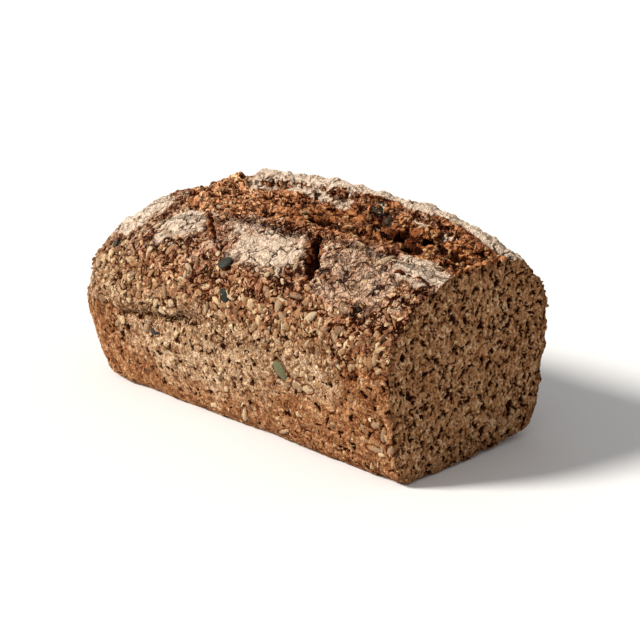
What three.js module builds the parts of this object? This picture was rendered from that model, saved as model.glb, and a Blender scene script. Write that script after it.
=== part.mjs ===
// A wholegrain tin loaf with one end sliced off, as one solid. Millimetres, +Z up.
// +X runs along the loaf to the cut face and -X to the rounded tin end. The origin is at the
// middle of the box that holds the loaf, at the level of the base, which rests flat on z = 0.

import * as THREE from 'three';
import { mergeVertices } from 'three/addons/utils/BufferGeometryUtils.js';

// Driving dimensions
const LENGTH = 248;           // tin end to cut face
const BASE_HALF_WIDTH = 48;   // the tin is narrowest at its base
const RIM_HALF_WIDTH = 58.5;  // and the loaf is widest just below the tin's rim
const WIDEST_HEIGHT = 58;     // height of that widest place
const END_LEAN = 12;          // how far the tin end leans out between base and rim
const BASE_RADIUS_NEAR = 4;   // rounded bottom edge of the -Y side
const BASE_RADIUS_FAR = 12;   // and of the +Y side and the tin end
const PLAN_RADIUS = 32;       // upright corners of the tin end, seen from above

// Crown: a dome over the walls, as heights above the base along the middle of the loaf
const PEAK_HEIGHT = 113;
const PEAK_X = 10;            // the highest place along the loaf
const CUT_DROP = 10;          // the dome is this much lower at the cut face
const END_DROP = 23;          // and at the tin end, before its edge rounds over
const SIDE_DROP_NEAR = 28;    // and at the long sides, before their edges round over
const SIDE_DROP_FAR = 26;
const SIDE_POWER_NEAR = 1.7;  // the -Y side slopes like a roof
const SIDE_POWER_FAR = 3.4;   // the +Y side is flatter on top and steeper at its edge

// Radius of the rounded edge between wall and crown
const EDGE_RADIUS_END = 30;
const EDGE_RADIUS_SIDE = 12;
const EDGE_RADIUS_CUT = 5;

// The long tear where the crown burst open in the oven
const TEAR_START_X = -75;
const TEAR_RAMP = 20;
const TEAR_MIDDLE_Y = 1;      // centre line at the middle of the loaf
const TEAR_DRIFT = 0.07;      // sideways drift of the centre line per millimetre
const TEAR_HALF_WIDTH = 19;
const TEAR_DEPTH = 3;
const LIP_RISE = 6;           // raised crust along the +Y side of the tear
const LIP_WIDTH = 9;
const LIP_SINK = 7;           // the whole crown at the lip dips this much at the cut face
const LIP_SINK_START_X = 80;

// Mesh steps along, across and up the loaf
const STEPS_ALONG = 42;
const STEPS_ACROSS = 22;
const STEPS_UP = 12;

const CRUST_COLOUR = 0x9a6f4d;
const CRUST_ROUGHNESS = 0.9;

const { clamp, lerp, smoothstep } = THREE.MathUtils;

// Height of the dome over a plan point, with the edge rounded down to the wall.
function domeHeight(x, y, fromEdge) {
  const toCut = clamp((x - PEAK_X) / (LENGTH / 2 - PEAK_X), 0, 1);
  const toEnd = clamp((PEAK_X - x) / (LENGTH / 2 + PEAK_X), 0, 1);
  const across = clamp(y / RIM_HALF_WIDTH, -1, 1);
  const sideDrop = across < 0
    ? SIDE_DROP_NEAR * Math.pow(-across, SIDE_POWER_NEAR)
    : SIDE_DROP_FAR * Math.pow(across, SIDE_POWER_FAR);
  const dome = PEAK_HEIGHT - CUT_DROP * toCut ** 2 - END_DROP * toEnd ** 2 - sideDrop;

  const towardsEnd = smoothstep(-x, LENGTH / 2 - 2 * PLAN_RADIUS, LENGTH / 2 - PLAN_RADIUS / 2);
  const side = lerp(EDGE_RADIUS_SIDE, EDGE_RADIUS_CUT, toCut ** 2);
  const radius = lerp(side, EDGE_RADIUS_END, towardsEnd);
  const past = clamp(1 - fromEdge / radius, 0, 1);
  return dome - radius * (1 - Math.sqrt(1 - past ** 2));
}

// The tear is a shallow trough in the dome with a raised lip along its +Y side.
function tearOffset(x, y) {
  const strength = smoothstep(x, TEAR_START_X, TEAR_START_X + TEAR_RAMP);
  const fromMiddle = y - (TEAR_MIDDLE_Y + TEAR_DRIFT * x);
  const trough = Math.exp(-((fromMiddle / TEAR_HALF_WIDTH) ** 4));
  const fromLip = (fromMiddle - TEAR_HALF_WIDTH - LIP_WIDTH / 2) / LIP_WIDTH;
  const sink = LIP_SINK * smoothstep(x, LIP_SINK_START_X, LENGTH / 2);
  return strength * ((LIP_RISE - sink) * Math.exp(-(fromLip ** 2)) - TEAR_DEPTH * trough);
}

// How far the walls have leaned out at height z, from 0 at the base to 1 at the widest place.
function wallShare(z) {
  return 1 - ((WIDEST_HEIGHT - z) / WIDEST_HEIGHT) ** 2;
}

// How far a bottom edge of the given radius draws in at height z.
function baseInset(z, radius) {
  const below = clamp(1 - z / radius, 0, 1);
  return radius * (1 - Math.sqrt(1 - below ** 2));
}

// Moves one vertex of the box, with u, v and w from -1 to 1, to its place on the loaf.
function loafPoint(u, v, w) {
  let x = u * LENGTH / 2;
  let y = v * RIM_HALF_WIDTH;
  const endPast = Math.max(PLAN_RADIUS - (x + LENGTH / 2), 0);
  const sidePast = Math.max(Math.abs(y) - (RIM_HALF_WIDTH - PLAN_RADIUS), 0);
  let fromEdge = PLAN_RADIUS - Math.max(endPast, sidePast);
  if (endPast > 0 && sidePast > 0) {
    const scale = Math.max(endPast, sidePast) / Math.hypot(endPast, sidePast);
    x += endPast * (1 - scale);
    y -= Math.sign(y) * sidePast * (1 - scale);
  }

  const z = (w + 1) / 2 * (domeHeight(x, y, fromEdge) + tearOffset(x, y));
  const share = wallShare(z);
  const farSide = clamp(y / RIM_HALF_WIDTH, 0, 1);
  const sideInset = baseInset(z, lerp(BASE_RADIUS_NEAR, BASE_RADIUS_FAR, farSide));
  y *= (lerp(BASE_HALF_WIDTH, RIM_HALF_WIDTH, share) - sideInset) / RIM_HALF_WIDTH;
  const atEnd = clamp(-2 * x / LENGTH, 0, 1) ** 2;
  x += atEnd * (END_LEAN * (1 - share) + baseInset(z, BASE_RADIUS_FAR));
  return [x, y, z];
}

function makeLoaf() {
  const geometry = new THREE.BoxGeometry(2, 2, 2, STEPS_ALONG, STEPS_ACROSS, STEPS_UP);
  geometry.deleteAttribute('normal');
  geometry.deleteAttribute('uv');
  const position = geometry.attributes.position;
  for (let i = 0; i < position.count; i++) {
    const point = loafPoint(position.getX(i), position.getY(i), position.getZ(i));
    position.setXYZ(i, ...point);
  }
  const merged = mergeVertices(geometry);
  merged.computeVertexNormals();
  return merged;
}

const crust = new THREE.MeshStandardMaterial({
  color: CRUST_COLOUR,
  roughness: CRUST_ROUGHNESS,
  metalness: 0,
});

const loaf = new THREE.Mesh(makeLoaf(), crust);
loaf.name = 'loaf';

const tinLoaf = new THREE.Group();
tinLoaf.add(loaf);

export default tinLoaf;
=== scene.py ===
# %% [markdown]
# # A wholegrain tin loaf
# This file makes the looks of a seeded loaf that was baked in a tin and had one end sliced off.
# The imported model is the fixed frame: a smooth, closed loaf at its true size. Everything here is
# built on a copy of that loaf, in metres, so nothing has to be fitted afterwards. Patterns are
# written in millimetres, because pores, grains and seeds are a few millimetres across.

import math

import bpy
import numpy as np
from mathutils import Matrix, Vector
from mathutils.kdtree import KDTree


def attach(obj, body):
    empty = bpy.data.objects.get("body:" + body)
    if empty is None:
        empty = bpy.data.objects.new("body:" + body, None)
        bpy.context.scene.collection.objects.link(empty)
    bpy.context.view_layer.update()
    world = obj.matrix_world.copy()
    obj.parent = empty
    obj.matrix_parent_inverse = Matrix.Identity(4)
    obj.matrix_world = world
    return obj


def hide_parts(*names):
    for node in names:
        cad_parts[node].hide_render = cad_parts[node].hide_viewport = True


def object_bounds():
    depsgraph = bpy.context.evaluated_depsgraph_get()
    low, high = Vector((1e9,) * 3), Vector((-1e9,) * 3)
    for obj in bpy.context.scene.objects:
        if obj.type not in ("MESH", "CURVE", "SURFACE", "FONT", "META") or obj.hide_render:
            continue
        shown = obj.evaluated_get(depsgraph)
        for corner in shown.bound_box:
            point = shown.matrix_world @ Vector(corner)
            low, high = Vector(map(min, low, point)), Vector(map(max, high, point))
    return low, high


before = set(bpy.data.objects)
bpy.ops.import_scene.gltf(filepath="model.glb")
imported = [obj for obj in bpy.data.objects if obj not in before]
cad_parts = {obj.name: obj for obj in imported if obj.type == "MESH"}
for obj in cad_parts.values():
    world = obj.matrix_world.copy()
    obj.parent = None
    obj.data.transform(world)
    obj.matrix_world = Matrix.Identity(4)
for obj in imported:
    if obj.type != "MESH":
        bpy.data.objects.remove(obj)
cad_low, cad_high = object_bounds()
MM = 0.001
length, width, height = [(high - low) / MM for low, high in zip(cad_low, cad_high)]
CUT_X = cad_high.x / MM
SIDE_Y = width / 2
print(f"loaf {length:.0f} x {width:.0f} x {height:.0f} mm, cut face at x = {CUT_X:.0f}")

# %% [markdown]
# ## Camera
# A loaf is best seen from a corner: the long side and the cut face both show, and a long lens
# from about a metre away keeps its edges nearly parallel.

# %% Camera at the corner between the long side and the cut face
CAMERA_AZIMUTH = math.radians(45.04)
CAMERA_ELEVATION = math.radians(18.68)
CAMERA_DISTANCE = 0.9954
CAMERA_TARGET = Vector((0.0198, 0.0002, 0.0488))
LENS_MM = 106.9


def new_object(name, data):
    """An object in the scene that holds a mesh, a camera or a lamp."""
    made = bpy.data.objects.new(name, data)
    bpy.context.scene.collection.objects.link(made)
    return made


def add_camera():
    camera = new_object("camera", bpy.data.cameras.new("camera"))
    back = Vector((
        math.sin(CAMERA_AZIMUTH) * math.cos(CAMERA_ELEVATION),
        -math.cos(CAMERA_AZIMUTH) * math.cos(CAMERA_ELEVATION),
        math.sin(CAMERA_ELEVATION),
    ))
    camera.location = CAMERA_TARGET + back * CAMERA_DISTANCE
    camera.rotation_euler = (-back).to_track_quat("-Z", "Y").to_euler()
    camera.data.lens = LENS_MM
    bpy.context.scene.camera = camera
    print("camera at", [round(c, 3) for c in camera.location])


add_camera()

# %% [markdown]
# ## Patterns as arithmetic
# Bread is all pattern: lumps, grains, pits and cracks on top of each other. Node trees can make
# them, in geometry for shape and in shaders for colour, but a tree of a hundred nodes is hard to
# read. So a small helper writes the nodes: a Wire stands for one output, and adding or
# multiplying two Wires makes the node that does it.


# %% Wire and Graph, which write node trees from expressions
class Wire:
    """One output of a node. Arithmetic on it adds math nodes to its tree."""

    def __init__(self, graph, socket):
        self.graph, self.socket = graph, socket

    def __add__(self, other):
        return self.graph.math("ADD", self, other)

    def __sub__(self, other):
        return self.graph.math("SUBTRACT", self, other)

    def __mul__(self, other):
        return self.graph.math("MULTIPLY", self, other)

    def __truediv__(self, other):
        return self.graph.math("DIVIDE", self, other)

    def __rsub__(self, other):
        return self.graph.math("SUBTRACT", other, self)

    def __neg__(self):
        return self.graph.math("MULTIPLY", self, -1.0)

    __radd__ = __add__
    __rmul__ = __mul__


class Graph:
    """Adds nodes to one tree, for geometry or for shading."""

    def __init__(self, tree):
        self.tree = tree

    def node(self, kind, **settings):
        made = self.tree.nodes.new(kind)
        for name, value in settings.items():
            setattr(made, name, value)
        return made

    def feed(self, socket, value):
        if isinstance(value, Wire):
            self.tree.links.new(value.socket, socket)
        elif socket.type in ("VECTOR", "RGBA") and isinstance(value, (int, float)):
            socket.default_value = [value] * len(socket.default_value)
        elif socket.type == "RGBA" and len(value) == 3:
            socket.default_value = (*value, 1.0)
        else:
            socket.default_value = value

    def out(self, node, name=0):
        return Wire(self, node.outputs[name])

    def math(self, operation, *values):
        vectors = [isinstance(v, tuple) or (isinstance(v, Wire) and v.socket.type != "VALUE")
                   for v in values]
        kind = "ShaderNodeVectorMath" if any(vectors) else "ShaderNodeMath"
        made = self.node(kind, operation=operation)
        for socket, value in zip(made.inputs, values):
            self.feed(socket, value)
        scalar = operation in ("LENGTH", "DOT_PRODUCT", "DISTANCE")
        return self.out(made, "Value" if scalar else 0)

    def smooth(self, value, low, high):
        """0 where value is below low, 1 above high, with an S-curve between."""
        made = self.node("ShaderNodeMapRange", interpolation_type="SMOOTHSTEP")
        for name, given in (("Value", value), ("From Min", low), ("From Max", high)):
            self.feed(made.inputs[name], given)
        return self.out(made)

    def moved(self, at, seed):
        """The same place in another part of an endless pattern, so that no two are alike."""
        return at + (31.7 * seed, 17.3 * seed, 23.9 * seed) if seed else at

    def noise(self, at, size, detail=2.0, seed=0.0, roughness=0.5):
        """Cloudy noise from about -1 to 1, whose blobs are about size across."""
        made = self.node("ShaderNodeTexNoise")
        self.feed(made.inputs["Vector"], self.moved(at, seed))
        self.feed(made.inputs["Detail"], detail)
        self.feed(made.inputs["Roughness"], roughness)
        self.feed(made.inputs["Scale"], self.ratio(1.0, size))
        return self.out(made, "Fac") * 4.0 - 2.0

    def noise_vector(self, at, size, detail=1.0, seed=0.0):
        made = self.node("ShaderNodeTexNoise")
        self.feed(made.inputs["Vector"], self.moved(at, seed))
        self.feed(made.inputs["Detail"], detail)
        self.feed(made.inputs["Scale"], self.ratio(1.0, size))
        return self.out(made, "Color") * 4.0 - 2.0

    def ratio(self, a, b):
        return self.math("DIVIDE", a, b) if isinstance(b, Wire) else a / b

    def cells(self, at, size, feature="F1", seed=0.0, smoothness=0.3):
        """Voronoi cells about size across: distance from a cell's middle, and its colour."""
        made = self.node("ShaderNodeTexVoronoi", feature=feature)
        self.feed(made.inputs["Vector"], self.moved(at, seed))
        self.feed(made.inputs["Scale"], self.ratio(1.0, size))
        if feature == "SMOOTH_F1":
            self.feed(made.inputs["Smoothness"], smoothness)
        colour = None if feature == "DISTANCE_TO_EDGE" else self.out(made, "Color")
        return self.out(made, "Distance") * size, colour

    def parts(self, vector):
        made = self.node("ShaderNodeSeparateXYZ")
        self.feed(made.inputs[0], vector)
        return [self.out(made, axis) for axis in "XYZ"]

    def join(self, x, y, z):
        made = self.node("ShaderNodeCombineXYZ")
        for socket, value in zip(made.inputs, (x, y, z)):
            self.feed(socket, value)
        return self.out(made)

    def blend(self, factor, a, b):
        """a where factor is 0 and b where it is 1, for colours."""
        made = self.node("ShaderNodeMix", data_type="RGBA")
        for index, value in ((0, factor), (6, a), (7, b)):
            self.feed(made.inputs[index], value)
        return self.out(made, 2)

    def most(self, a, b):
        return self.math("MAXIMUM", a, b)

    def least(self, a, b):
        return self.math("MINIMUM", a, b)


print("pattern helpers ready")

# %% [markdown]
# ## The loaf's own landmarks
# The crown burst open along its middle in the oven. The tear runs from near the tin end to the
# cut face. Crust plates lie along its -Y side, split by a few short cracks and one deep notch,
# and a raised lip of crust follows its +Y side. Each landmark is a place seen from above.

# %% Landmarks, in millimetres
TEAR_START_X = -66.0
TEAR_MIDDLE_Y = -1.0
TEAR_DRIFT = 0.07
TEAR_HALF_WIDTH = 20.0
# how soon the torn crumb gives way to the lip: in the broad shape, and in the fine relief, where
# the lip is wider near the tin end than at the cut
TEAR_FAR_SHARE = 1.14
FINE_FAR_SHARE, LESS_AT_CUT = 1.17, 0.11
CREASE_MIDDLE_X, CREASE_MIDDLE_Z, CREASE_SLOPE = -44.0, 50.0, 0.16
# start, end, half width and depth of each gap between the crust plates
GAPS = {
    "notch": ((41.0, -24.0), (56.0, -43.0), 4.6, 9.0),
    "crack_by_end": ((-62.0, -14.0), (-66.0, -45.0), 2.2, 4.0),
    "crack_second": ((-40.0, -24.0), (-15.0, -42.0), 1.6, 3.4),
    "crack_at_cut": ((98.0, -27.0), (122.0, -25.0), 0.8, 1.6),
}
# across, up and radius of the larger holes in the cut face
CRUMB_HOLES = (
    (7.6, 50.8, 2.1), (-12.0, 60.4, 1.8), (-5.0, 48.9, 1.6), (-37.2, 35.9, 1.9), (28.0, 77.0, 2.2),
    (15.0, 36.3, 1.4), (41.0, 22.0, 1.9), (-16.0, 83.0, 1.8), (22.0, 9.0, 1.7), (44.0, 60.0, 1.6),
)
# along, across, radius and depth of the deep holes in the tear
TEAR_HOLES = (
    (0.0, -14.0, 4.0, 6.0), (30.0, -7.0, 5.4, 6.5), (38.0, 2.0, 5.0, 6.0), (59.0, 6.0, 5.4, 6.5),
    (63.0, 16.0, 4.6, 5.0), (86.0, -2.0, 5.0, 5.5), (108.0, 7.0, 6.4, 7.0), (114.0, 13.0, 4.8, 5.5),
    (-22.0, 4.0, 4.0, 4.5), (12.0, 8.0, 4.4, 5.0), (98.0, 15.0, 4.6, 5.0), (74.0, 8.0, 4.8, 5.5),
)
# middle, reach along and across, and thickness of each patch of flour
FLOUR = {
    "plate_at_end": ((-93.0, -22.0), 20.0, 19.0, 1.2),
    "end_fade": ((-78.0, -38.0), 26.0, 14.0, 0.55),
    "second_plate": ((-50.0, -34.0), 25.0, 17.0, 0.98),
    "third_plate": ((20.0, -37.0), 31.0, 17.0, 0.95),
    "third_plate_fade": ((2.0, -34.0), 34.0, 17.0, 0.6),
    "fourth_plate": ((82.0, -36.0), 38.0, 19.0, 0.74),
    "patch_at_cut": ((107.0, -21.0), 27.0, 13.0, 0.95),
    "far_end": ((-85.0, 20.0), 34.0, 26.0, 0.6),
    "thin_all_along": ((10.0, -37.0), 120.0, 17.0, 0.45),
}
LIP_FLOUR = 1.0
print(len(GAPS), "gaps and", len(FLOUR), "patches of flour")


# %% Masks made from the landmarks
def loaf_coordinates(g, position):
    """Place in millimetres, split in three, and how far it is across the tear, from -1 to 1."""
    at = position * (1.0 / MM)
    x, y, z = g.parts(at)
    ragged = g.noise(at, 15.0, detail=3.0, seed=1) * 3.0 + g.noise(at, 4.0, seed=2) * 0.8
    across = (y - x * TEAR_DRIFT - TEAR_MIDDLE_Y + ragged) / TEAR_HALF_WIDTH
    return at, x, y, z, across


def tear_mask(g, at, x, across, upward, far_share):
    """1 in the torn crumb and 0 on the crust; far_share moves its far edge."""
    rounded = across * across * 5.0 + g.noise(at, 12.0, seed=3) * 3.0 + g.noise(at, 4.0, seed=46) * 1.5
    start = g.smooth(x - rounded, TEAR_START_X - 3.0, TEAR_START_X + 2.0)
    inside = 1.0 - g.smooth(g.most(-across, across * far_share), 0.93, 1.05)
    return start * inside * g.smooth(upward, -0.3, 0.0)


def gap_profile(g, at, x, y, start, end, half_width):
    """1 along the middle line of a gap and 0 outside it, with ragged sides."""
    run = Vector(end) - Vector(start)
    ragged = g.noise(at, 5.0, seed=4) * (half_width * 0.35)
    along = ((x - start[0]) * run.x + (y - start[1]) * run.y) * (1.0 / run.length_squared)
    along = g.least(g.most(along, 0.0), 1.0)
    off_x = x - start[0] - along * run.x
    off_y = y - start[1] - along * run.y
    distance = g.math("SQRT", off_x * off_x + off_y * off_y) + ragged
    return 1.0 - g.smooth(distance, half_width * 0.45, half_width)


def valley(g, at, x, across):
    """1 along the deepest line of the tear, which wanders and starts past its raised end."""
    line = across - 0.28 + g.noise(at, 21.0, seed=15) * 0.3
    deep = 1.0 - g.smooth(g.math("ABSOLUTE", line), 0.1, 0.5)
    return deep * g.smooth(x + g.noise(at, 14.0, seed=3) * 8.0, -26.0, 6.0)


def crease(g, at, x, z):
    """1 along the fold where the dough sagged over itself, the height over it, and its reach."""
    line = z - (CREASE_MIDDLE_Z + (x - CREASE_MIDDLE_X) * CREASE_SLOPE) + g.noise(at, 11.0, seed=64) * 2.2
    ends = 1.0 - g.smooth(g.math("ABSOLUTE", x - CREASE_MIDDLE_X), 22.0, 44.0)
    return (1.0 - g.smooth(g.math("ABSOLUTE", line), 0.6, 3.2)) * ends, line, ends


def cut_mask(g, x, facing_x):
    """1 on the flat cut face."""
    return g.smooth(x, CUT_X - 1.6, CUT_X - 0.5) * g.smooth(facing_x, 0.5, 0.85)


print("masks for the tear, the gaps, the valley, the crease and the cut")

# %% [markdown]
# ## The loaf's broad shape
# First come the shapes of a centimetre and more: the burst crumb that stands above the crust
# plates, the lip, the gaps, and soft lumps in the walls. They move a copy of the smooth loaf, and
# a voxel remesh then gives it even faces, so that steep sides get as many as flat places.


# %% A tree with named inputs, and a way to run it on a mesh
def new_geometry_tree(name, inputs):
    """An empty geometry tree with a mesh going in and out, and named sizes as inputs."""
    tree = bpy.data.node_groups.new(name, "GeometryNodeTree")
    tree.interface.new_socket("Geometry", in_out="INPUT", socket_type="NodeSocketGeometry")
    tree.interface.new_socket("Geometry", in_out="OUTPUT", socket_type="NodeSocketGeometry")
    for label, default in inputs.items():
        socket = tree.interface.new_socket(label, in_out="INPUT", socket_type="NodeSocketFloat")
        socket.default_value = default
    g = Graph(tree)
    entry = g.node("NodeGroupInput")
    given = {label: g.out(entry, label) for label in inputs}
    return tree, g, g.out(entry, "Geometry"), given


def end_geometry_tree(g, geometry):
    g.feed(g.node("NodeGroupOutput").inputs[0], geometry)


def displaced(g, geometry, offset_mm):
    """The geometry with every vertex moved by an offset in millimetres."""
    made = g.node("GeometryNodeSetPosition")
    g.feed(made.inputs["Geometry"], geometry)
    g.feed(made.inputs["Offset"], offset_mm * MM)
    return g.out(made)


def stored(g, geometry, name, value):
    """The geometry with a value stored under a name on every vertex."""
    kind = "FLOAT" if value.socket.type == "VALUE" else "FLOAT_VECTOR"
    made = g.node("GeometryNodeStoreNamedAttribute", data_type=kind, domain="POINT")
    g.feed(made.inputs["Geometry"], geometry)
    made.inputs["Name"].default_value = name
    g.feed(made.inputs["Value"], value)
    return g.out(made)


def recalled(g, name, kind="FLOAT"):
    """The value that is stored under this name on every vertex or point."""
    made = g.node("GeometryNodeInputNamedAttribute", data_type=kind)
    made.inputs["Name"].default_value = name
    return g.out(made, "Attribute")


def finished_mesh(mesh, name, add_modifiers):
    """A new mesh: the given one with modifiers applied by a carrier object that is then removed."""
    carrier = new_object(name, mesh)
    add_modifiers(carrier)
    evaluated = carrier.evaluated_get(bpy.context.evaluated_depsgraph_get())
    made = bpy.data.meshes.new_from_object(evaluated)
    bpy.data.objects.remove(carrier)
    made.name = name
    return made


def run_tree(mesh, tree, name, **values):
    """A new mesh: the tree run on mesh, with the named inputs set by their identifiers."""
    def add_modifiers(carrier):
        modifier = carrier.modifiers.new(name, "NODES")
        modifier.node_group = tree
        for item in tree.interface.items_tree:
            key = item.name.replace(" ", "_").lower()
            if item.in_out == "INPUT" and key in values:
                modifier[item.identifier] = values[key]
    return finished_mesh(mesh, name, add_modifiers)


def remesh_evenly(carrier, face_size):
    remesh = carrier.modifiers.new("even_faces", "REMESH")
    remesh.mode = "VOXEL"
    remesh.voxel_size = face_size * MM


def evenly_faced(mesh, face_size):
    """The same closed shape with square faces of one size, in millimetres."""
    return finished_mesh(mesh, "even_faces", lambda carrier: remesh_evenly(carrier, face_size))


def column(items, label, width=1, kind=np.float32):
    """One property of every vertex, edge or face as an array, with width numbers in a row."""
    values = np.empty(len(items) * width, kind)
    items.foreach_get(label, values)
    return values.reshape(-1, width) if width > 1 else values


print("geometry tree helpers ready")


# %% The broad shape tree
def broad_shape_tree():
    tree, g, geometry, given = new_geometry_tree("broad_shape", {
        "Wall Lumps": 0.8, "Foot Bulge": 0.9, "Crown Lumps": 1.7, "Crumb Sink": 4.2,
        "Crumb Rise": 5.2, "Crag Height": 2.6, "Lip Rise": 3.6, "Plate Rise": 1.3,
        "Valley Depth": 6.5, "Step Depth": 6.2, "Crease Depth": 3.2, "Sag": 2.3,
    })
    position = g.out(g.node("GeometryNodeInputPosition"))
    normal = g.out(g.node("GeometryNodeInputNormal"))
    at, x, y, z, across = loaf_coordinates(g, position)
    normal_x, normal_y, upward = g.parts(normal)
    crown = g.smooth(upward, 0.2, 0.6)
    tear = tear_mask(g, at, x, across, upward, TEAR_FAR_SHARE)
    whole = 1.0 - cut_mask(g, x, normal_x)

    wall = g.noise(at, 34.0, seed=5) + g.noise(at, 10.0, seed=6) * 0.55
    rise = wall * given["Wall Lumps"] * (1.0 - crown)
    rise += (1.0 - g.smooth(z, 1.0, 9.0)) * given["Foot Bulge"]
    small_lumps = g.noise(at, 9.0, seed=8) * (0.7 - g.smooth(across, 0.7, 1.0) * 0.5)
    lumps = g.noise(at, 27.0, seed=7) + small_lumps - 0.7
    rise += lumps * given["Crown Lumps"] * crown

    crag = g.noise(at, 13.0, detail=3.0, seed=9) * given["Crag Height"]
    near_start = 1.0 - g.smooth(x, TEAR_START_X + 12.0, TEAR_START_X + 24.0)
    crumb = crag * (1.0 - near_start * 0.5) - given["Crumb Sink"] + near_start * given["Crumb Rise"]
    crumb = crumb - valley(g, at, x, across) * given["Valley Depth"]
    crumb = crumb - g.smooth(across, 0.25, 0.7) * g.smooth(x, -54.0, -44.0) * 1.2
    plate = g.smooth(g.math("ABSOLUTE", across), 0.9, 1.1) * (1.0 - g.smooth(across, -2.2, -1.0))
    lip_band = g.smooth(across, 0.82, 1.28) * (1.0 - g.smooth(across, 1.42, 2.0))
    lip = lip_band * g.smooth(x, -49.0, -43.0) * (1.0 + g.noise(at, 16.0, seed=10) * 0.6)
    before_tear = g.smooth(x, -98.0, -74.0) * (1.0 - g.smooth(x, -66.0, -63.0)) * g.smooth(y, -16.0, -4.0)
    tall = g.smooth(x, 30.0, 42.0) * (1.0 - g.smooth(x, 66.0, 78.0)) * 0.5 + 1.0
    crust = plate * given["Plate Rise"] + lip * tall * given["Lip Rise"]
    crust = crust - before_tear * given["Step Depth"]
    rise = rise * (1.0 - tear) + (crumb * tear + crust * (1.0 - tear)) * crown

    groove, above, ends = crease(g, at, x, z)
    near_side = g.smooth(-normal_y, 0.4, 0.7)
    sag = g.smooth(above, 0.0, 7.0) * (1.0 - g.smooth(above, 14.0, 26.0)) * ends
    rise = rise + (sag * given["Sag"] - groove * given["Crease Depth"]) * near_side
    for start, end, half_width, depth in GAPS.values():
        rise = rise - gap_profile(g, at, x, y, start, end, half_width) * crown * depth
    offset = normal * (rise * whole)

    # Crumbs broke off along the edges of the cut, most along the far upright and the bottom one.
    near_cut = g.smooth(x, CUT_X - 8.0, CUT_X - 1.5)
    ragged = g.noise(at, 7.0, detail=2.0, seed=11)
    far_edge = near_cut * g.smooth(y, SIDE_Y - 10.0, SIDE_Y - 2.0) * (1.0 - crown)
    side_edge = near_cut * (1.0 - g.smooth(y, -SIDE_Y + 2.0, -SIDE_Y + 9.0)) * (1.0 - crown)
    low_edge = near_cut * (1.0 - g.smooth(z, 0.5, 6.0))
    step = g.smooth(y, -16.0, -10.0) * 1.3 + 1.2
    chipped = g.join(
        g.most(ragged, 0.0) * low_edge * -1.6,
        side_edge * g.most(ragged, -0.2) * 1.6 + far_edge * (g.smooth(z, 40.0, 60.0) * 1.2 - ragged * 2.8),
        low_edge * step * (g.smooth(ragged, -0.9, 0.3) * 0.7 + 0.5),
    )
    offset = offset + chipped
    offset_x, offset_y, offset_z = g.parts(offset)
    resting = g.join(offset_x, offset_y, g.most(offset_z, -z))
    end_geometry_tree(g, displaced(g, geometry, resting))
    return tree


BROAD_FACE_SIZE = 1.2


def merged_copy_of(node):
    """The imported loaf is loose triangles, so a copy of it has its doubles merged first."""
    def add_modifiers(carrier):
        weld = carrier.modifiers.new("merge", "WELD")
        weld.merge_threshold = 0.01 * MM
        remesh_evenly(carrier, BROAD_FACE_SIZE)
        smooth = carrier.modifiers.new("soften", "SMOOTH")
        smooth.iterations = 4
    return finished_mesh(node.data.copy(), "smooth_loaf", add_modifiers)


def mesh_arrays(mesh):
    """Vertex places, vertex normals and the four corners of each face."""
    corners = column(mesh.loops, "vertex_index", kind=np.int32)
    return (column(mesh.vertices, "co", 3), column(mesh.vertex_normals, "vector", 3),
            corners.reshape(-1, 4))


smooth_loaf = merged_copy_of(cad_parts["loaf"])
shaped_loaf = run_tree(smooth_loaf, broad_shape_tree(), "shaped_loaf")
print("shaped copy has", len(shaped_loaf.polygons), "faces")

# %% [markdown]
# ## Patches of surface
# The loaf is one baked thing, but its surface is too finely grained for one mesh. So the skin is
# taken as patches, each with faces as small as its own detail asks: smallest on the cut face and
# in the tear, largest on the base. Neighbours overlap by a millimetre or two and take every
# displacement from the same function of place, so they meet without a seam. Each patch is closed
# by a cone of faces that runs to a point deep inside the loaf.

# %% Which patch a place on the skin belongs to
INSIDE_POINT = Vector((0.0, 0.0, 50.0)) * MM
# size of a face in millimetres, and the direction of the chart's two axes
PATCHES = {
    "cut_face": (0.42, (0, 1, 0), (0, 0, 1)),
    "tear": (0.5, (1, 0, 0), (0, 1, 0)),
    "plates": (0.5, (1, 0, 0), (0, 0.75, 0.66)),
    "far_crown": (0.62, (1, 0, 0), (0, 0.75, -0.66)),
    "long_side": (0.52, (1, 0, 0), (0, 0, 1)),
    "far_side": (0.72, (-1, 0, 0), (0, 0, 1)),
    "tin_end": (0.66, (0, -1, 0), (0, 0, 1)),
    "base": (1.2, (1, 0, 0), (0, -1, 0)),
}
CROWN_START_Z, BASE_Z = 74.0, 0.7
TIN_END_X = -65.5
TEAR_MARGIN = 5.0
OVERLAP = 1.6
RIM_DEPTH = 4.2
CHART_START, CHART_SPAN, CONE_IN_CHART = 0.01, 0.97, 0.996


def patch_of(x, y, z):
    """The number of the patch that each place is on, by simple borders."""
    number = {name: index for index, name in enumerate(PATCHES)}
    across = y - TEAR_DRIFT * x - TEAR_MIDDLE_Y
    by_tear = x > TEAR_START_X - TEAR_MARGIN
    plate_side = np.where(by_tear, across < 0.0, y < 0.0)
    on_crown = np.where(plate_side, number["plates"], number["far_crown"])
    in_tear = (np.abs(across) < TEAR_HALF_WIDTH * 1.3) & by_tear
    on_crown = np.where(in_tear, number["tear"], on_crown)
    on_wall = np.where(y < 0.0, number["long_side"], number["far_side"])
    on_wall = np.where(x < TIN_END_X - np.abs(y), number["tin_end"], on_wall)
    patch = np.where(z > CROWN_START_Z, on_crown, on_wall)
    patch = np.where(z < BASE_Z, number["base"], patch)
    return np.where(x > CUT_X - 0.5, number["cut_face"], patch)


print(len(PATCHES), "patches, with faces of", sorted(size for size, *_ in PATCHES.values()), "mm")


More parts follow.
